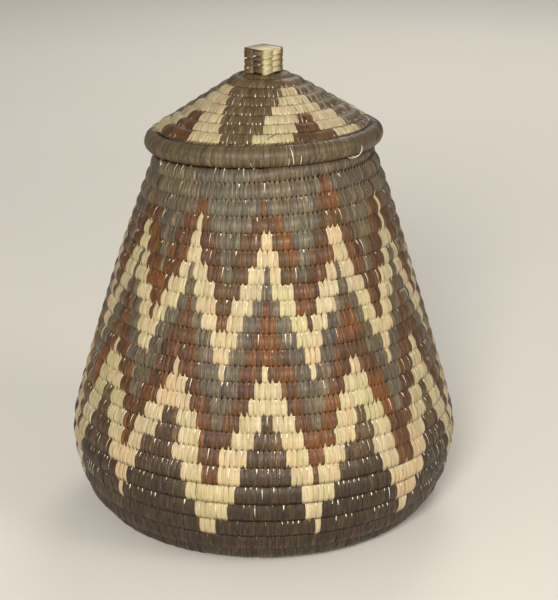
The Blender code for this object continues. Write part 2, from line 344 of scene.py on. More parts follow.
def sewn_places(rows, width_at_radius, side):
    """One place for each strip along the rows. Side 1 shows the coil's outer face, -1 the other."""
    places = rows["places"]
    steps = np.linalg.norm(np.diff(places, axis=0), axis=1)
    run = np.concatenate([[0], np.cumsum(steps)])
    stations = np.arange(len(places))
    cuts, at = [], first_strip * width_at_radius(coil_start)
    reach = np.hypot(places[:, 0], places[:, 1])
    while at < run[-1]:
        cuts.append(at)
        at += width_at_radius(float(np.interp(at, run, reach)))
    cuts = np.array(cuts)
    station = np.interp(cuts, run, stations)

    def at_cuts(values):
        return np.array([np.interp(station, stations, values[:, axis]) for axis in range(3)]).T

    middle = at_cuts(places)
    tangent = unit(at_cuts(np.gradient(places, axis=0)))
    ahead = square_to(at_cuts(rows["ahead"]), tangent)
    picked = {"angle": 2 * math.pi * station / turn_points, "place": middle}
    picked["half"] = np.interp(station, stations, rows["half"])
    picked["width"] = np.array([width_at_radius(np.hypot(x, y)) for x, y, _ in middle])
    across = tangent * side
    inward = np.cross(ahead, across)
    turns = [Matrix(axes).transposed().to_euler() for axes in zip(across, inward, ahead)]
    picked["turn"] = np.array(turns)
    return picked


def between(picked):
    """The places half way between neighbouring strips."""
    made = {key: values[:-1].copy() for key, values in picked.items()}
    made["place"] = (picked["place"][:-1] + picked["place"][1:]) / 2
    return made


def points_mesh(name, picked, chosen):
    """The chosen strips' points, for the sewing."""
    half = picked["half"][chosen]
    size = np.stack([picked["width"][chosen], half, half], axis=1)
    return marked_points(name, picked["place"][chosen], picked["turn"][chosen], size)


# ---------------- leaf strips


def strip_mesh(name, line, tops=3):
    """A closed strip along a line of (out, ahead, half width, bulge, aside), at unit size."""
    line = np.array(line, float)
    path = line[:, :2]
    along = unit(np.gradient(path, axis=0))
    raised = np.stack([along[:, 1], -along[:, 0]], axis=1)
    run = np.concatenate([[0], np.cumsum(np.linalg.norm(np.diff(path, axis=0), axis=1))])
    run /= run[-1]
    shares = np.linspace(-1, 1, tops + 1)
    work = bmesh.new()
    uv = work.loops.layers.uv.new("UVMap")
    rings, marks = [], {}
    for number, (out, ahead, half, bulge, aside) in enumerate(line):
        across = [(aside + share * half, bulge * (1 - share**2), (share + 1) / 2) for share in shares]
        across.append((aside, -strip_thickness, 0.5))
        ring = []
        for x, lift, u in across:
            place = path[number] + raised[number] * lift
            knot = work.verts.new((x, -place[0], place[1]))
            marks[knot] = (u, run[number])
            ring.append(knot)
        rings.append(ring)
    tube_faces(work, rings)
    for face in work.faces:
        for loop in face.loops:
            loop[uv].uv = marks[loop.vert]
        face.smooth = True
    for low, high in zip(rings, rings[1:]):
        for k in (0, tops):
            work.edges.get((low[k], high[k])).smooth = False
    return faced_mesh(name, work)


def row_face(ahead):
    """How far a row's face stands out, at a share of the way to its edge."""
    return 1 - row_depth * ahead**2


def spike_line(tip, tip_half, aside, wide):
    """The visible run of a strip: out of the crease, over the row, ending on the next row."""
    own = [(-1.04, 0.53), (-0.55, 0.53), (-0.05, 0.53), (0.40, 0.53), (0.80, 0.52)]
    line = [(row_face(ahead) + 0.01, ahead, half * wide, 0.03, 0.0) for ahead, half in own]
    line.append((row_face(0.97) + 0.03, 0.98, 0.45 * wide, 0.03, aside * 0.2))
    line.append((row_face(0.84) + 0.04, 1.18, 0.22 * wide, 0.03, aside * 0.6))
    line.append((row_face(2 - tip) + 0.02, tip, tip_half, 0.02, aside))
    return line


def back_line(wide):
    """The plainer run of a strip on a row's far side, from crease to crease."""
    own = [(-1.0, 0.46), (-0.6, 0.52), (0.0, 0.53), (0.6, 0.52), (1.0, 0.46)]
    return [(row_face(ahead), ahead, half * wide, 0.05, 0.0) for ahead, half in own]


def straw_line(start, widest):
    """Bare straw that shows between two strips, widest where the next row begins."""
    steps = np.linspace(start, 0.98, 4)
    halves = widest * np.array([0.12, 0.38, 0.72, 1.0])
    line = [(row_face(ahead) + 0.03, ahead, half, 0.03, 0.0) for ahead, half in zip(steps, halves)]
    line.append((row_face(0.96) + 0.04, 1.04, widest * 0.9, 0.03, 0.0))
    return line


def wrap_mesh(name, steps, wide, bulge=0.025, tops=3):
    """A strip wound once right round a bundle, at unit size."""
    work = bmesh.new()
    uv = work.loops.layers.uv.new("UVMap")
    shares = np.linspace(-1, 1, tops + 1)
    rings = []
    for station in range(steps):
        turn = 2 * math.pi * station / steps
        ring = []
        for share in shares:
            reach = 1.0 + bulge * (1 - share**2)
            ring.append(work.verts.new((share * wide, -reach * math.cos(turn), reach * math.sin(turn))))
        within = 1 - strip_thickness
        ring.append(work.verts.new((0, -within * math.cos(turn), within * math.sin(turn))))
        rings.append(ring)
    for station in range(steps):
        low, high = rings[station], rings[(station + 1) % steps]
        for k in range(len(low)):
            j = (k + 1) % len(low)
            face = work.faces.new((low[k], low[j], high[j], high[k]))
            face.smooth = True
            us = [u / tops if u <= tops else 0.5 for u in (k, j, j, k)]
            vs = [station / steps, station / steps, (station + 1) / steps, (station + 1) / steps]
            for loop, u, v in zip(face.loops, us, vs):
                loop[uv].uv = (u, v)
        for k in (0, tops):
            work.edges.get((low[k], high[k])).smooth = False
    return faced_mesh(name, work)


def shape_set(name, meshes):
    """A collection of strip shapes for the sewing to pick from."""
    made = bpy.data.collections.new(name)
    bpy.context.scene.collection.children.link(made)
    for mesh in meshes:
        made.objects.link(bpy.data.objects.new(mesh.name, mesh))
    return made


def drop_shape_set(made):
    for item in list(made.objects):
        bpy.data.objects.remove(item, do_unlink=True)
    bpy.data.collections.remove(made)


def sewing_tree():
    """Sews a leaf strip on every point: each picks a shape, and varies a little in width and slant."""
    tree = bpy.data.node_groups.new("leaf_sewing", "GeometryNodeTree")
    asked = {
        "Geometry": "Geometry",
        "Strip shapes": "Collection",
        "Width spread": "Float",
        "Slant": "Float",
        "Slant spread": "Float",
        "Lift spread": "Float",
        "Pressed below": "Float",
        "Seed": "Int",
        "Leaf": "Material",
    }
    for label, kind in asked.items():
        tree.interface.new_socket(label, in_out="INPUT", socket_type="NodeSocket" + kind)
    tree.interface.new_socket("Geometry", in_out="OUTPUT", socket_type="NodeSocketGeometry")
    given = tree.nodes.new("NodeGroupInput").outputs
    result = tree.nodes.new("NodeGroupOutput")

    def maths(operation, *values):
        return step(tree, "ShaderNodeMath", dict(enumerate(values)), operation=operation)[0]

    def carried(label):
        kind = "GeometryNodeInputNamedAttribute"
        return step(tree, kind, {"Name": label}, data_type="FLOAT_VECTOR")["Attribute"]

    def seed(number):
        return maths("ADD", given["Seed"], number)

    def spread_value(label, number):
        ends = {2: maths("MULTIPLY", given[label], -1.0), 3: given[label], "Seed": seed(number)}
        return step(tree, "FunctionNodeRandomValue", ends, data_type="FLOAT")[1]

    def joined(*values):
        return step(tree, "ShaderNodeCombineXYZ", dict(enumerate(values)))[0]

    def as_turn(angles):
        return step(tree, "FunctionNodeEulerToRotation", {0: angles})[0]

    kit = {"Collection": given["Strip shapes"], "Separate Children": True, "Reset Children": True}
    shapes = step(tree, "GeometryNodeCollectionInfo", kit)
    pick = step(tree, "FunctionNodeRandomValue", {4: 0, 5: 11, "Seed": seed(1)}, data_type="INT")
    wider = maths("ADD", spread_value("Width spread", 2), 1.0)
    taller = maths("ADD", spread_value("Lift spread", 3), 1.0)
    factors = joined(wider, taller, 1.0)
    sized = step(tree, "ShaderNodeVectorMath", {0: carried("size"), 1: factors}, operation="MULTIPLY")
    slant = maths("ADD", given["Slant"], spread_value("Slant spread", 4))
    both = {0: as_turn(carried("turn")), 1: as_turn(joined(0.0, slant))}
    turned = step(tree, "FunctionNodeRotateRotation", both, rotation_space="LOCAL")
    sewing = {
        "Points": given["Geometry"],
        "Instance": shapes[0],
        "Pick Instance": True,
        "Instance Index": pick[2],
        "Rotation": turned[0],
        "Scale": sized[0],
    }
    sewn = step(tree, "GeometryNodeInstanceOnPoints", sewing)

    drawn = step(tree, "FunctionNodeRandomValue", {"Seed": seed(5)}, data_type="FLOAT")
    stored = {"Geometry": sewn[0], "Name": "lot", "Value": drawn[1]}
    kept = step(tree, "GeometryNodeStoreNamedAttribute", stored, domain="INSTANCE", data_type="FLOAT")
    real = step(tree, "GeometryNodeRealizeInstances", {0: kept[0]})

    # What lies low is pressed towards the ground, by a share and never flat
    apart = step(tree, "ShaderNodeSeparateXYZ", {0: step(tree, "GeometryNodeInputPosition")[0]})
    kept_share = maths("MULTIPLY", given["Pressed below"], 1 - pressed_share)
    pressed = maths("MULTIPLY_ADD", apart[2], pressed_share, kept_share)
    level = joined(apart[0], apart[1], maths("MAXIMUM", apart[2], pressed))
    moved = step(tree, "GeometryNodeSetPosition", {"Geometry": real[0], "Position": level})
    finish = {"Geometry": moved[0], "Material": given["Leaf"]}
    fill(tree, result, {0: step(tree, "GeometryNodeSetMaterial", finish)[0]})
    return tree


def sewn_piece(name, points, shapes, leaf, **settings):
    """Runs the sewing on loose points and keeps the result as one plain mesh."""
    holder = in_scene(name + "_points", points)
    sewing = holder.modifiers.new("sewing", "NODES")
    sewing.node_group = leaf_sewing
    values = {
        "Strip shapes": shapes,
        "Width spread": 0.06,
        "Slant": 0.0,
        "Slant spread": 0.05,
        "Lift spread": 0.03,
        "Pressed below": -1.0,
        "Seed": 3,
        "Leaf": leaf,
    }
    values.update({key.replace("_", " ").capitalize(): value for key, value in settings.items()})
    for item in leaf_sewing.interface.items_tree:
        if item.item_type == "SOCKET" and item.in_out == "INPUT" and item.name in values:
            sewing[item.identifier] = values[item.name]
    bpy.context.view_layer.update()
    graph = bpy.context.evaluated_depsgraph_get()
    mesh = bpy.data.meshes.new_from_object(holder.evaluated_get(graph))
    mesh.name = name
    bpy.data.objects.remove(holder, do_unlink=True)
    for label in ("turn", "size"):
        if label in mesh.attributes:
            mesh.attributes.remove(mesh.attributes[label])
    return in_scene(name, mesh)


def flat_outline():
    """A wound row's grass bundle, just under the strips, as (out, ahead)."""
    marks = np.linspace(-0.88, 0.88, 6)
    face = [(row_face(mark) - 0.10 + 0.03 * abs(mark), mark) for mark in marks]
    return face + [(-out, mark) for out, mark in reversed(face)]


def round_outline(share, sides, start=0.0):
    turn = start + 2 * math.pi * np.arange(sides) / sides
    return [(share * math.cos(t), share * math.sin(t)) for t in turn]


def core_piece(name, body, nodes, rows, outline, last_outline=None, pressed=-1.0, trim=0):
    """The grass bundle inside the strips, as one closed tube along the rows."""
    rows = {key: values[trim : len(values) - trim] for key, values in rows.items()}
    places = rows["places"]
    tangent = unit(np.gradient(places, axis=0))
    ahead = square_to(rows["ahead"], tangent)
    outward = np.cross(tangent, ahead)
    outlines = np.tile(np.array(outline), (len(places), 1, 1))
    if last_outline is not None:
        outlines[-turn_points:] = np.array(last_outline)
    out, up = outlines[:, :, 0, None], outlines[:, :, 1, None]
    ring = outward[:, None, :] * out + ahead[:, None, :] * up
    knots = places[:, None, :] + ring * rows["half"][:, None, None]
    heights = knots[:, :, 2]
    knots[:, :, 2] = np.maximum(heights, pressed + pressed_share * (heights - pressed))
    work = bmesh.new()
    tube_faces(work, [[work.verts.new(knot) for knot in knots_here] for knots_here in knots.tolist()])
    mesh = faced_mesh(name, work)
    mesh.shade_smooth()
    mesh.materials.append(grass)
    finish_piece(in_scene(name, mesh), body, "grass_core", *nodes)


# ---------------- finishes


def linear(red, green, blue):
    """A colour written from 0 to 255 as seen, as the shader takes it."""
    seen = np.array([red, green, blue]) / 255
    return (*np.where(seen <= 0.04045, seen / 12.92, ((seen + 0.055) / 1.055) ** 2.4).tolist(), 1.0)


def new_finish(name):
    """A new material, with its node tree and its shader."""
    made = bpy.data.materials.new(name)
    made.use_nodes = True
    return made, made.node_tree, made.node_tree.nodes["Principled BSDF"]


def shade_along(tree, value, stops):
    """A colour that follows a value, through stops of (place, colour)."""
    made = tree.nodes.new("ShaderNodeValToRGB")
    elements = made.color_ramp.elements
    for number in (0, -1):
        place, colour = stops[number]
        elements[number].position = place
        elements[number].color = linear(*colour)
    for place, colour in stops[1:-1]:
        elements.new(place).color = linear(*colour)
    return fill(tree, made, {0: value})[0]


def leaf_finish(name, shades, patches, painted_sheen, crease=0.30, streaks=0.45, painted_foot_shading=1.0):
    """Dyed palm leaf: each strip its own shade, fibres along it, patches where dye took unevenly.

    It carries painted light as well: painted shade along the strips' edges and at their feet, painted
    highlight streaks along the fibres, and, where asked, painted shade that darkens the foot and pales up to
    the belly.
    """
    made, tree, shader = new_finish(name)

    def times(value, factor):
        return step(tree, "ShaderNodeMath", {0: value, 1: factor}, operation="MULTIPLY")[0]

    def ranged(value, from_low, from_high, to_low, to_high):
        ends = {"From Min": from_low, "From Max": from_high, "To Min": to_low, "To Max": to_high}
        return step(tree, "ShaderNodeMapRange", {0: value, **ends})[0]

    def mixed(share, under, over):
        return step(tree, "ShaderNodeMix", {0: share, 6: under, 7: linear(*over)}, data_type="RGBA")[2]

    lot = step(tree, "ShaderNodeAttribute", attribute_name="lot")["Fac"]
    where = step(tree, "ShaderNodeTexCoord")["Object"]
    stops = [(number / (len(shades) - 1), shade) for number, shade in enumerate(shades)]
    colour = shade_along(tree, lot, stops)
    for number, (patch_colour, scale, low, high, strength) in enumerate(patches):
        moved = {"Vector": where, "Location": (3.1 * number, 1.7 * number, 0.9)}
        placed = step(tree, "ShaderNodeMapping", moved)[0]
        noise = step(tree, "ShaderNodeTexNoise", {"Vector": placed, "Scale": scale, "Detail": 3.0})[0]
        colour = mixed(ranged(noise, low, high, 0.0, strength), colour, patch_colour)

    u, v = step(tree, "ShaderNodeSeparateXYZ", {0: step(tree, "ShaderNodeUVMap", uv_map="UVMap")[0]})[:2]

    def fibres(across, along):
        joined = {0: times(u, across), 1: times(v, along), 2: times(lot, 61.0)}
        drawn = {"Vector": step(tree, "ShaderNodeCombineXYZ", joined)[0]}
        drawn.update({"Scale": 1.0, "Detail": 3.0, "Roughness": 0.6})
        return step(tree, "ShaderNodeTexNoise", drawn)[0]

    broad = fibres(4.0, 0.7)
    fine = fibres(15.0, 1.8)
    broad_streak = ranged(broad, 0.34, 0.68, 1 - streaks, 1 + streaks * 0.55)
    streak = times(broad_streak, ranged(fine, 0.32, 0.68, 0.84, 1.10))

    # Painted shade, with some dust: the strip's edges darken where it meets its neighbours, and its foot
    # darkens where it comes out of the crease under the row above
    edge = step(tree, "ShaderNodeMath", {0: u, 1: 0.5}, operation="PINGPONG")[0]
    edge_shade = ranged(edge, 0.0, 0.11, 1 - crease, 1.0)
    foot_shade = ranged(v, 0.0, 0.20, 1 - crease * 0.6, 1.0)
    shaded = times(times(edge_shade, foot_shade), streak)
    # Painted shade at the base: the leaf is darker at the foot and grows paler up to the belly
    if painted_foot_shading > 1.0:
        height = step(tree, "ShaderNodeSeparateXYZ", {0: where})[2]
        shaded = times(shaded, ranged(height, 0.042, 0.066, 1.0, painted_foot_shading))
    # Painted highlight: pale streaks where the fine fibres run, standing in for the leaf's sheen
    colour = mixed(ranged(fine, 0.55, 0.68, 0.0, 0.75), colour, painted_sheen)
    toned = step(tree, "ShaderNodeVectorMath", {0: colour, "Scale": shaded}, operation="SCALE")[0]

    relief = {"Strength": 0.8, "Distance": 0.0005, "Height": times(broad, fine)}
    look = {
        "Base Color": toned,
        "Roughness": ranged(broad, 0.38, 0.62, 0.66, 0.26),
        "Normal": step(tree, "ShaderNodeBump", relief)[0],
        "Specular IOR Level": 0.52,
    }
    fill(tree, shader, look)
    return made


def grass_finish(name, light, dark):
    """Dry grass, broken into fine stalks."""
    made, tree, shader = new_finish(name)
    where = step(tree, "ShaderNodeTexCoord")["Object"]
    noise = step(tree, "ShaderNodeTexNoise", {"Vector": where, "Scale": 420.0, "Detail": 3.0})[0]
    relief = {"Strength": 0.4, "Distance": 0.0004, "Height": noise}
    look = {
        "Base Color": shade_along(tree, noise, [(0.35, dark), (0.62, light)]),
        "Roughness": 0.6,
        "Normal": step(tree, "ShaderNodeBump", relief)[0],
    }
    fill(tree, shader, look)
    return made


# Shades of single strips, then patches as (colour, scale, from, to, strength)
cream = leaf_finish(
    "cream_leaf",
    [(183, 164, 126), (197, 179, 138), (190, 171, 131), (205, 189, 149), (181, 162, 121), (200, 183, 142)],
    [((208, 176, 130), 38.0, 0.52, 0.62, 0.65), ((190, 181, 124), 30.0, 0.50, 0.62, 0.60)],
    painted_sheen=(228, 212, 176),
    crease=0.26,
    streaks=0.26,
)
brown = leaf_finish(
    "brown_leaf",
    [(70, 41, 15), (97, 58, 20), (83, 48, 17), (114, 70, 24), (65, 39, 17), (93, 54, 19)],
    [((84, 64, 28), 34.0, 0.52, 0.64, 0.7), ((136, 76, 20), 30.0, 0.56, 0.66, 0.6)],
    painted_sheen=(168, 122, 74),
    streaks=0.56,
)
taupe = leaf_finish(
    "taupe_leaf",
    [(78, 66, 48), (108, 91, 67), (89, 75, 56), (122, 104, 77), (74, 62, 46), (104, 87, 63)],
    [
        ((98, 100, 80), 34.0, 0.52, 0.64, 0.5),
        ((108, 94, 58), 24.0, 0.54, 0.66, 0.5),
        ((90, 79, 68), 42.0, 0.54, 0.64, 0.6),
    ],
    painted_sheen=(170, 156, 126),
    streaks=0.60,
)
dark = leaf_finish(
    "dark_leaf",
    [(84, 65, 40), (107, 84, 53), (92, 72, 46), (120, 96, 62), (80, 62, 40), (103, 82, 53)],
    [((102, 86, 50), 30.0, 0.52, 0.68, 0.7)],
    painted_sheen=(150, 132, 98),
    streaks=0.56,
)
# The wall's dark leaf, painted much darker than the lid's: painted shade on the body's lower rows
shaded_foot_dark = leaf_finish(
    "foot_dark_leaf",
    [(46, 31, 16), (58, 40, 20), (50, 34, 18), (66, 46, 24), (42, 28, 16), (56, 38, 20)],
    [((72, 58, 28), 34.0, 0.52, 0.66, 0.7)],
    painted_sheen=(120, 100, 70),
    streaks=0.58,
    painted_foot_shading=2.1,
)
rim_leaf = leaf_finish(
    "rim_leaf",
    [(84, 70, 45), (101, 84, 56), (91, 76, 50), (110, 92, 62), (80, 67, 43), (99, 82, 54)],
    [((84, 68, 44), 36.0, 0.50, 0.66, 0.6)],
    painted_sheen=(144, 128, 96),
    crease=0.18,
    streaks=0.55,
)
# The grass core is painted much darker than the bare straw: painted shade where it shows in the gaps and
# creases
grass = grass_finish("grass_core", (150, 132, 98), (98, 84, 58))
straw = grass_finish("bare_straw", (244, 236, 212), (224, 210, 176))


# ---------------- the chart

# The wall's pattern: one zigzag every 30 degrees, with the small faults of the basket's front
repeat_degrees = 30
peak_turn = math.radians(1)
single_tips = (-1, 2)
single_tip_half = 0.8
drifted_peaks = {-1: 2.0, 1: 2.2}
drift_row = 17
rust_peak = 1
rust_half = {1: 1.9, 2: 5.5}
lower_tip_row = 12
lower_tip_half = 0.9
early_valley = -2
early_tip_row = 20
early_tip_from = 13.6
foot_row = 22


def reach(row, marks):
    """How far to each side of a peak a colour reaches in a row, in degrees."""
    rows, degrees = zip(*marks)
    return np.interp(row, rows, degrees, left=-1, right=15.1)


upper_brown = [(1.5, -1), (2, 2), (3, 7), (4, 10), (5, 12.8), (6, 13.3), (7, 15.1)]
upper_cream_top = [
    (3.5, -1), (4, 2.25), (5, 3.5), (6, 6.1), (7, 9.4), (8, 11.65), (9, 13.6), (10, 15.1),
]
upper_cream_foot = [
    (5.5, -1), (6, 1.2), (7, 1.7), (8, 4.7), (9, 8), (10, 10.3), (11, 12.3), (12, 14.2), (13, 15.1),
]
lower_brown = [
    (7.5, -1), (8, 1), (9, 2.8), (10, 4.8), (11, 6.8), (12, 8.2), (13, 10), (14, 12), (15, 13.4), (16, 15.1),
]
lower_cream_top = [
    (11.5, -1), (12, 1), (13, 3.75), (14, 5.9), (15, 8.1), (16, 10.4), (17, 12.4), (18, 13.6), (19, 15.1),
]
lower_cream_foot = [
    (14.5, -1), (15, 1.5), (16, 3.05), (17, 5), (18, 7.35), (19, 9.3), (20, 11.65), (21, 13.5), (22, 15.1),
]
rows_above_mouth = 31
# How far a colour's edge wanders, in degrees: one draw for each turn and each block of a repeat
wall_wander = 0.45
lid_wander = 1.2


def wall_leaf(angle, shifts):
    """Which leaf a wall strip is cut from, by how far along the coil it is."""
    turn = round(angle / (2 * math.pi))
    row = rows_above_mouth - turn
    here = (angle - 2 * math.pi * turn - peak_turn) / math.radians(repeat_degrees)
    peak = round(here)
    block = math.floor(here * 2) % shifts.shape[1]
    drift = drifted_peaks.get(peak, 0.0) if row >= drift_row else 0.0
    aside = abs(here + drift / repeat_degrees - peak) * repeat_degrees + shifts[turn, block]
    aside = min(aside, repeat_degrees / 2)
    if row == 3 and peak in single_tips and aside < single_tip_half:
        return "cream"
    if peak == rust_peak and row in rust_half and aside < rust_half[row]:
        return "brown"
    if row == lower_tip_row and abs(here - peak) * repeat_degrees < lower_tip_half:
        return "cream"
    if math.floor(here) == early_valley:
        if row == early_tip_row and aside > early_tip_from:
            return "cream"
        row += min(max((row - 12) / 3, 0.0), 1.0 if row < 19 else 0.75)
    if row >= foot_row or aside <= reach(row, lower_cream_foot):
        return "dark"
    if aside <= reach(row, lower_cream_top):
        return "cream"
    if aside <= reach(row, lower_brown):
        return "brown"
    if aside <= reach(row, upper_cream_foot):
        return "taupe"
    if aside <= reach(row, upper_cream_top):
        return "cream"
    if aside <= reach(row, upper_brown):
        return "brown"
    return "taupe"


lid_row_count = 8
lid_peak_turn = math.radians(29)
lid_cream_half = (33, 29, 26, 21, 17, 10)
lid_brown_half = (11.5, 9, 5)
lid_widened = {(-1, 1): 5}


def lid_leaf(angle, shifts):
    """Which leaf a lid strip is cut from. Rows count up from the rim."""
    turn = round(angle / (2 * math.pi))
    up = lid_row_count - turn
    here = math.degrees(angle - 2 * math.pi * turn - lid_peak_turn)
    peak = round(here / 90)
    side = 0 if here < peak * 90 else 1
    aside = abs(here - peak * 90) + shifts[turn, (2 * peak + side) % shifts.shape[1]]
    aside -= lid_widened.get((peak, side), 0)
    if 0 <= up < len(lid_brown_half) and aside <= lid_brown_half[up]:
        return "brown"
    if 0 <= up < len(lid_cream_half) and aside <= lid_cream_half[up]:
        return "cream"
    return "dark"


# ---------------- pieces

leaf_sewing = sewing_tree()


def wall_strip_width(radius):
    """Strips are finer at the neck than at the belly."""
    share = np.clip((radius - finest_within) / (coarsest_beyond - finest_within), 0, 1)
    return neck_strip_width + (belly_strip_width - neck_strip_width) * float(share)


def lid_width_at(radius):
    return min(lid_strip_width, 0.0012 + radius * 0.06)


body_start = start_button_radius + seat_gap - row_gap / 2
body_rows = wound_rows(body_start, section[0][-1], row_width, body_point)
lid_start = lid_button_radius + seat_gap - row_gap / 2
slope_run = (first_lid_row()[0] - lid_top_radius) / math.cos(lid_slope)
lid_end = lid_top_radius + slope_run + lid_row_width / 2
lid_rows = wound_rows(lid_start, lid_end, lambda distance: lid_row_width, lid_point)
rim_rows = ring_rows(rim_radius - rim_thickness / 2, rim_height(), rim_thickness)

spikes = [spike_line(1.50, 0.03, 0.03, 1.00), spike_line(1.66, 0.02, -0.16, 0.98)]
spikes += [spike_line(1.38, 0.04, 0.18, 1.02), spike_line(1.56, 0.03, 0.09, 0.97)]
shapes = shape_set("strip_shapes", [strip_mesh(f"strip_{k}", s) for k, s in zip("abcd", spikes)])
backs = shape_set("back_shapes", [strip_mesh("back_a", back_line(1.0), tops=2)])
blunts = shape_set("blunt_shapes", [strip_mesh("blunt_a", back_line(1.0))])
bare = [straw_line(*run) for run in ((0.68, 0.17), (0.50, 0.15), (0.74, 0.13), (-0.30, 0.09))]
straws = shape_set("straw_shapes", [strip_mesh(f"straw_{k}", s, tops=1) for k, s in zip("abcd", bare)])
wraps = shape_set("wrap_shapes", [wrap_mesh("wrap_a", 20, 0.53), wrap_mesh("wrap_b", 20, 0.57)])
small_wraps = shape_set("small_wrap_shapes", [wrap_mesh("wrap_c", 12, 0.52, bulge=0.06, tops=2)])

leaves = {"cream": cream, "brown": brown, "taupe": taupe, "dark": dark, "rim": rim_leaf}
# The wall's dark strips take the darker leaf with the painted shade of the lower rows
wall_leaves = dict(leaves, dark=shaded_foot_dark)
slots = {leaf: f"{leaf}_leaf" for leaf in leaves}


def finish_piece(piece, body, slot_name, *nodes):
    """Ties a piece to its body and hides the solids it stands for; the slot name is not used."""
    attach(piece, body)
    if nodes:
        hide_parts(*nodes)


def sew_sides(part, colour, sides, leaf_of, body, node, **settings):
    """Sews one colour's strips on each side of a coil, where it has any."""
    for side, picked, kit, chosen in sides:
        if chosen.any():
            name = f"{part}_{side}_{colour}"
            points = points_mesh(name + "_points", picked, chosen)
            piece = sewn_piece(name, points, kit, leaf_of[colour], **settings)
            finish_piece(piece, body, slots[colour], node)


body_outside = sewn_places(body_rows, wall_strip_width, 1)
body_shifts = rng.normal(0, wall_wander, (34, 24))
body_leaves = np.array([wall_leaf(a, body_shifts) for a in body_outside["angle"]])
thin_end = math.radians(250)
last_turn = body_outside["angle"][-1] - 2 * math.pi
on_mouth = body_outside["angle"] > last_turn
on_floor = body_outside["angle"] < 2 * math.pi * floor_turns
on_wall = ~on_floor & ~on_mouth
under_tail = on_wall & (body_outside["angle"] > last_turn - thin_end)
body_inside = dict(body_outside)
body_inside["turn"] = sewn_places(body_rows, wall_strip_width, -1)["turn"]

for colour in ("cream", "brown", "taupe", "dark"):
    for part, here, node in (("wall", on_wall, "wall_coil"), ("floor", on_floor, "base_coil")):
        chosen = here & (body_leaves == colour)
        sides = [
            ("outside", body_outside, shapes, chosen & ~under_tail),
            ("top", body_outside, blunts, chosen & under_tail),
            ("inside", body_inside, backs, chosen),
        ]
        sew_sides(part, colour, sides, wall_leaves, "basket", node, pressed_below=pressed_below)

points = points_mesh("mouth_points", body_outside, on_mouth)
piece = sewn_piece("mouth_wraps", points, small_wraps, taupe)
finish_piece(piece, "basket", "taupe_leaf", "wall_coil")

mouth_core = round_outline(0.94, 12, start=math.radians(-75))
body_nodes = ("wall_coil", "base_coil")
core_piece("body_grass", "basket", body_nodes, body_rows, flat_outline(), mouth_core, pressed_below, trim=2)


def straw_piece(name, picked, leaf_names, chances, allowed, body, node):
    """Bare straw in some of the gaps between strips, more of it where the strips are dark."""
    gaps = between(picked)
    chance = np.array([chances.get(leaf, 0.0) for leaf in leaf_names[:-1]])
    chosen = (rng.random(len(chance)) < chance) & allowed[:-1]
    piece = sewn_piece(name, points_mesh(name + "_points", gaps, chosen), straws, straw)
    finish_piece(piece, body, "grass_core", node)


straw_chances = {"dark": 0.60, "brown": 0.22, "taupe": 0.18, "cream": 0.6}
straw_piece("wall_straw", body_outside, body_leaves, straw_chances, on_wall, "basket", "wall_coil")

lid_outside = sewn_places(lid_rows, lid_width_at, -1)
lid_inside = dict(lid_outside)
lid_inside["turn"] = sewn_places(lid_rows, lid_width_at, 1)["turn"]
lid_shifts = rng.normal(0, lid_wander, (10, 8))
lid_leaves = np.array([lid_leaf(a, lid_shifts) for a in lid_outside["angle"]])
for colour in ("cream", "brown", "dark"):
    chosen = lid_leaves == colour
    sides = [("outside", lid_outside, shapes, chosen), ("inside", lid_inside, backs, chosen)]
    sew_sides("lid", colour, sides, leaves, "lid", "lid_coil")
core_piece("lid_grass", "lid", ["lid_coil"], lid_rows, flat_outline(), trim=3)
lid_top_turns = 2
on_slope = lid_outside["angle"] > 2 * math.pi * lid_top_turns
lid_chances = {"dark": 0.60, "brown": 0.25, "cream": 0.4}
straw_piece("lid_straw", lid_outside, lid_leaves, lid_chances, on_slope, "lid", "lid_coil")


def wrapped_ring(name, rows, width, kit, leaf_key, node, slant, seed):
    """A ring wrapped in a whole number of strips."""
    length = float(np.linalg.norm(np.diff(rows["places"], axis=0), axis=1).sum())
    even_width = length / round(length / width)

    def width_at(radius):
        return even_width

    picked = sewn_places(rows, width_at, 1)
    everywhere = np.ones(len(picked["angle"]), bool)
    points = points_mesh(name + "_points", picked, everywhere)
    piece = sewn_piece(name, points, kit, leaves[leaf_key], slant=slant, seed=seed)
    finish_piece(piece, "lid", slots[leaf_key], node)


wrapped_ring("rim_wraps", rim_rows, rim_strip_width, wraps, "rim", "lid_rim", 0.10, 5)
core_piece("rim_grass", "lid", ["lid_rim"], rim_rows, round_outline(0.96, 14))

row_radius, _, row_half = mouth_row()
collar_half = collar_thickness / 2
collar_radius = row_radius - row_half - collar_clearance - collar_half
collar_reach = (lid_row_width - row_gap) / 2 + collar_half + seat_gap
collar_top = slope_height(collar_radius) - collar_reach / math.cos(lid_slope)
for number in range(collar_rows):
    ring = ring_rows(collar_radius, collar_top - number * collar_thickness, collar_thickness)
    ring["half"] *= 0.97
    name = f"collar_wraps_{number + 1}"
    wrapped_ring(name, ring, collar_strip_width, small_wraps, "dark", "lid_collar", 0.08, 12 + number)
    core_piece(f"collar_grass_{number + 1}", "lid", ["lid_collar"], ring, round_outline(0.96, 10))


def fold_line(drop):
    """A fold lying across its column or across the knob's top, both ends turned in."""
    end = [(drop, -1.0, 0.43, 0.0, 0.0), (0.8, -1.0, 0.45, 0.0, 0.0), (1.0, -0.93, 0.47, 0.1, 0.0)]
    other_end = [(out, -ahead, *rest) for out, ahead, *rest in reversed(end)]
    return end + [(1.0, 0.0, 0.47, 0.2, 0.0)] + other_end


def knob_frame(face):
    """Outward and sideways, as seen on one face of the knob."""
    turn = knob_turn + math.pi / 2 * (face + 1 / 2)
    outward = Vector((math.cos(turn), math.sin(turn), 0))
    return outward, Vector((-math.sin(turn), math.cos(turn), 0))


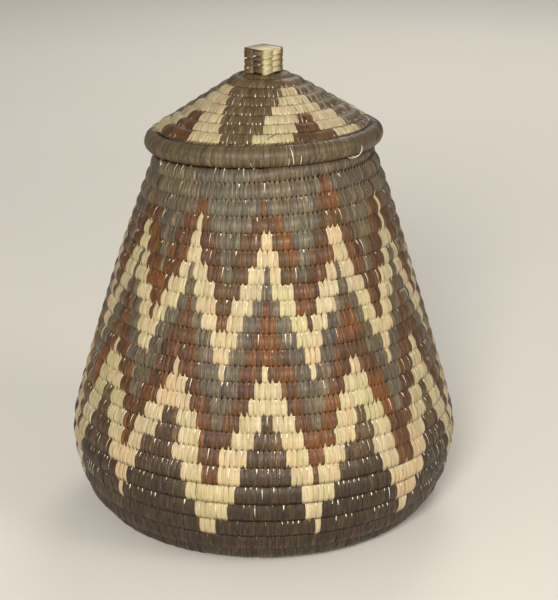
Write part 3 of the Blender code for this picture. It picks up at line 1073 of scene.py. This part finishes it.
def fold_points(folds):
    """Places, turns and sizes of the folds, for the same sewing as the strips."""
    places, turns, sizes = [], [], []
    for place, outward, along, length, depth, width in folds:
        along = along.normalized()
        outward = (outward - outward.dot(along) * along).normalized()
        across = (-outward).cross(along)
        turns.append(Matrix((across, -outward, along)).transposed().to_euler())
        leaned = Vector(place)
        leaned.z += lean(leaned.x, leaned.y)
        places.append(leaned)
        sizes.append((width, depth, length / 2))
    return marked_points("fold_points", places, turns, sizes)


def column_folds(face, column):
    """The folds of one column, from the knob's foot to its crown."""
    outward, along = knob_frame(face)
    inner = knob_width / 2 - knob_wall
    pitch = knob_column_width + seat_gap
    rise = fold_slant * knob_column_width / 2
    bottom = knob_bottom() + rise
    middle = knob_width / 2 - knob_wall - pitch * (column + 1 / 2)
    folds = []
    for course in range(fold_count + column):
        height = bottom + fold_height * (course + 1 / 2 - column / 2)
        height = min(max(height, bottom + 0.0008), crown_base - 0.0009)
        place = outward * inner + along * middle + Vector((0, 0, height))
        slope = along + Vector((0, 0, fold_slant))
        shingled = outward + Vector((0, 0, fold_shingle))
        folds.append((place, shingled, slope, knob_column_width * 1.04, knob_wall, fold_height))
    return folds


fold_slant = 0.06
fold_shingle = 0.32
fold_count = 4
crown_rise = 0.0012
folds = shape_set("fold_shapes", [strip_mesh("fold_a", fold_line(-0.2), tops=4)])
knob_column_width = (knob_width - knob_wall) / 2 - seat_gap
columns_top = knob_bottom() + column_slant * knob_column_width + knob_courses * course_height
crown_base = columns_top + seat_gap
fold_height = (crown_base - knob_bottom()) / fold_count
side_out, side_along = knob_frame(3)
upward = Vector((0, 0, 1))
crown_depth = crown_rise + 0.0005
crown_strips = []
for share in (-0.25, 0.25):
    place = side_along * share * knob_width + upward * (crown_base - 0.0006)
    crown_strips.append((place, upward, side_out, knob_width, crown_depth, knob_width * 0.535))
back_edge = side_out * (0.0006 - knob_width / 2) + upward * (crown_base - 0.0002)
far_out, far_along = knob_frame(2)
far_edge = far_out * (0.0008 - knob_width / 2) + upward * (crown_base - 0.0004)
back_strips = [
    (back_edge, upward, side_along, knob_width, crown_depth, 0.0012),
    (far_edge, upward, far_along, knob_width, crown_depth, 0.0014),
]
for colour, faces, tops in (("cream", (1, 3), crown_strips), ("dark", (0, 2), back_strips)):
    placed = [fold for face in faces for column in (0, 1) for fold in column_folds(face, column)]
    points = fold_points(placed + tops)
    piece = sewn_piece(f"knob_folds_{colour}", points, folds, leaves[colour], slant_spread=0.03)
    nodes = [f"knob_column_{face * 2 + column + 1}" for face in faces for column in (0, 1)]
    finish_piece(piece, "lid", slots[colour], *nodes, "knob_crown")


def fibre_piece(name, runs, leaf, body, slot_name, *nodes):
    """Loose ends of leaf and grass, each a thin tapered thread through its own points."""
    work = bmesh.new()
    sides = 5
    for points, thickness in runs:
        points = [Vector(point) for point in points]
        rings = []
        for number, point in enumerate(points):
            before, after = points[max(number - 1, 0)], points[min(number + 1, len(points) - 1)]
            ahead = (after - before).normalized()
            aside = ahead.cross(Vector((0.3, 0.2, 1))).normalized()
            other = ahead.cross(aside)
            share = number / (len(points) - 1)
            radius = thickness / 2 * (0.35 + 0.65 * math.sin(math.pi * (0.1 + 0.8 * share)))
            ring = []
            for k in range(sides):
                turn = 2 * math.pi * k / sides
                away = math.cos(turn) * aside + math.sin(turn) * other
                ring.append(work.verts.new(point + radius * away))
            rings.append(ring)
        for face in tube_faces(work, rings):
            face.smooth = True
    mesh = faced_mesh(name, work)
    mesh.materials.append(leaf)
    finish_piece(in_scene(name, mesh), body, slot_name, *nodes)


def on_rim(angle, turn, lift=0.0):
    """A place on the rim's face: the angle round the basket, the turn up from level, both in degrees."""
    reach = rim_thickness / 2 + lift
    radius = rim_radius - rim_thickness / 2 + reach * math.cos(math.radians(turn))
    place = around(radius, math.radians(angle), rim_height() + reach * math.sin(math.radians(turn)))
    place[2] += lean(place[0], place[1])
    return tuple(place)


def rim_thread(start, end, low, high, thickness, lift=0.0002):
    """A thin light strip lying on the rim, from one angle and turn to another."""
    shares = np.linspace(0, 1, 9)
    points = [on_rim(start + (end - start) * t, high + (low - high) * t, lift) for t in shares]
    return points, thickness


rim_threads = [
    rim_thread(12.4, 14.2, -55, 60, 0.00045),
    rim_thread(17.3, 17.4, -60, 5, 0.00040),
    rim_thread(11.6, 11.7, -60, -5, 0.00025),
    rim_thread(-6.0, -5.4, -62, -20, 0.00025),
]
loop_turn = np.linspace(0, 1, 12)
loop = [on_rim(51.5 - 6 * t, 5 - 75 * t, 0.0003 + 0.0022 * math.sin(math.pi * t)) for t in loop_turn]
smaller = [on_rim(52.8 - 5 * t, -5 - 62 * t, 0.0003 + 0.0014 * math.sin(math.pi * t)) for t in loop_turn]
rim_threads += [(loop, 0.00032), (smaller, 0.00028)]
fibre_piece("rim_threads", rim_threads, straw, "lid", "grass_core", "lid_rim")


def on_neck(angle, up):
    """A place on the face of the body's top row, its angle in degrees and height from its middle."""
    place = body_point(section[0][-1] - neck_row_width / 2, math.radians(angle))
    outward = around(neck_row_width / 2 + 0.0003, math.radians(angle), 0.0)
    return tuple(place + outward + np.array([0, 0, up]))


def on_lid(angle, down, lift):
    """A place on the lid's slope, its angle in degrees and its distance from the middle."""
    place = lid_point(down, math.radians(angle))
    outward = around(math.sin(lid_slope), math.radians(angle), math.cos(lid_slope))
    return tuple(place + outward * (lid_row_width / 2 + lift))


neck_threads = []
for start, end, height in ((-66.5, -62.5, 0.0022), (-65.5, -63.6, 0.0030), (-64.8, -64.6, 0.0026)):
    points = [on_neck(start + (end - start) * t, -0.0012 + height * t) for t in np.linspace(0, 1, 4)]
    neck_threads.append((points, 0.00035))
fibre_piece("neck_threads", neck_threads, straw, "basket", "grass_core", "wall_coil")

lid_edge = lid_top_radius + slope_run
lid_thread = [
    on_lid(1.5 + 7.5 * t, lid_edge + 0.0022 - 0.0042 * t, 0.0002 + 0.0008 * math.sin(math.pi * t))
    for t in np.linspace(0, 1, 9)
]
fibre_piece("lid_thread", [(lid_thread, 0.0003)], brown, "lid", "brown_leaf", "lid_coil")


def on_knob(face, along_share, up):
    """A place on one face of the knob, its share of the face's width and its height."""
    outward, along = knob_frame(face)
    place = outward * (knob_width / 2 + 0.0004) + along * (along_share * knob_width)
    return place + Vector((0, 0, knob_bottom() + up + lean(place.x, place.y)))


speck_places = ((-0.30, 0.0030, 0.10), (0.02, 0.0094, 0.10), (-0.38, 0.0080, 0.06), (0.24, 0.0052, 0.05))
knob_specks = []
for share, up, length in speck_places:
    ends = [on_knob(2, share + length * t, up + 0.0003 * t) for t in (-0.5, 0, 0.5)]
    knob_specks.append((ends, 0.0007))
fibre_piece("knob_specks", knob_specks, straw, "lid", "grass_core", "knob_column_5", "knob_column_6")

for used in (shapes, backs, blunts, straws, wraps, small_wraps, folds):
    drop_shape_set(used)

for node, finish in (("base_start", shaded_foot_dark), ("lid_start", dark), ("knob_core", grass)):
    frame["nodes"][node].data.materials.clear()
    frame["nodes"][node].data.materials.append(finish)


# ---------------- floor, light and camera


def floor_finish():
    """A plain pale ground."""
    made, tree, shader = new_finish("pale_floor")
    where = step(tree, "ShaderNodeTexCoord")["Object"]
    noise = step(tree, "ShaderNodeTexNoise", {"Vector": where, "Scale": 3.0})[0]
    colour = shade_along(tree, noise, [(0.0, (226, 222, 214)), (1.0, (232, 229, 222))])
    fill(tree, shader, {"Base Color": colour, "Roughness": 0.9, "Specular IOR Level": 0.1})
    return made


mesh = bpy.data.meshes.new("floor")
side = 8.0
mesh.from_pydata([(-side, -side, 0), (side, -side, 0), (side, side, 0), (-side, side, 0)], [], [(0, 1, 2, 3)])
mesh.materials.append(floor_finish())
floor = in_scene("floor", mesh)
floor.location.z = -0.0002


def soft_lamp(name, place, aim, size, watts):
    data = bpy.data.lights.new(name, "AREA")
    data.color = (1.0, 0.955, 0.88)
    data.shape = "DISK"
    data.size = size
    data.energy = watts
    lamp = in_scene(name, data)
    lamp.location = place
    lamp.rotation_euler = (Vector(aim) - Vector(place)).to_track_quat("-Z", "Y").to_euler()


middle = (0, 0, 0.12)
soft_lamp("key_lamp", (-0.25, -1.5, 0.80), middle, 0.45, 26)
soft_lamp("side_lamp", (1.3, -0.8, 0.9), middle, 0.9, 9)
soft_lamp("back_lamp", (0.3, 1.5, 1.2), middle, 0.9, 10)

world = bpy.data.worlds.new("soft_room")
bpy.context.scene.world = world
world.use_nodes = True
room = world.node_tree
light = fill(room, room.nodes["Background"], {"Color": linear(236, 234, 230), "Strength": 0.34})[0]
seen = step(room, "ShaderNodeBackground", {"Color": linear(228, 225, 218)})[0]
to_camera = step(room, "ShaderNodeLightPath")["Is Camera Ray"]
chosen = step(room, "ShaderNodeMixShader", {0: to_camera, 1: light, 2: seen})[0]
fill(room, room.nodes["World Output"], {"Surface": chosen})

view = bpy.data.cameras.new("camera")
view.lens = 103.67
view.sensor_width = 36
view.shift_x = 0.0257
camera = in_scene("camera", view)
camera.location = (0, -0.880, 0.4112)
camera_tilt = 0.3283
camera.rotation_euler = (math.pi / 2 - camera_tilt, 0, 0)
bpy.context.scene.camera = camera
bpy.context.scene.view_settings.view_transform = "Standard"
